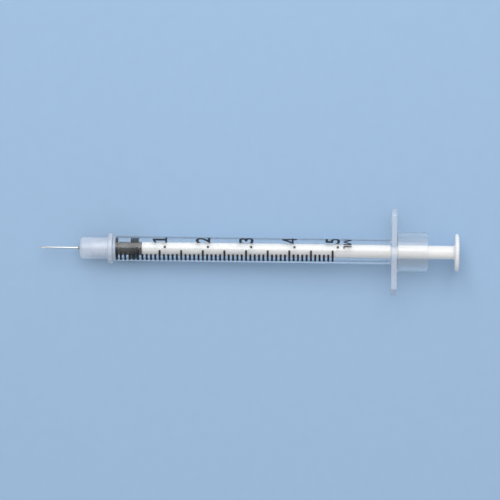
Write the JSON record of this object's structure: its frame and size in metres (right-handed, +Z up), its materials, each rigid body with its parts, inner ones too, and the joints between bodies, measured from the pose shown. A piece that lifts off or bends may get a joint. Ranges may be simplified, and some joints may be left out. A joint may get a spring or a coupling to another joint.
{
  "type": "tuberculin syringe",
  "caption": "Small-bore clear plastic syringe with a fixed fine needle, long printed scale, rubber-tipped white plunger, finger flange and rear collar, lying flat with the plunger fully in.",
  "frame": {"origin": "on the surface the syringe lies on, under the middle of its length", "axes": "+X from the needle towards the thumb disc, +Y across the finger flange, +Z up"},
  "size_m": [0.101, 0.021, 0.011],
  "materials": {
    "steel": "polished tube",
    "adhesive": "cured clear adhesive, faintly amber",
    "hub_plastic": "milky translucent moulding",
    "barrel_plastic": "clear moulding with a faint haze",
    "ink": "printed ink",
    "rubber": "smooth, lightly oiled",
    "rod_plastic": "satin white moulding"
  },
  "bodies": {
    "barrel": {"barrel": "barrel_plastic", "needle_hub": "hub_plastic", "needle_adhesive": "adhesive", "needle_cannula": "steel", "graduation_marks": "ink"},
    "stopper": {"rubber_stopper": "rubber"},
    "plunger": {"plunger_rod": "rod_plastic"}
  },
  "joints": [
    {"name": "plunger_slide", "type": "slide", "parent": "barrel", "child": "stopper", "axis": [0.9996, 0, 0.027], "range_m": [0, 0.05948]},
    {"name": "plunger_turn", "type": "hinge", "parent": "stopper", "child": "plunger", "pos_m": [-0.02592, 0, 0.00388], "axis": [0.9996, 0, 0.027], "continuous": true}
  ]
}
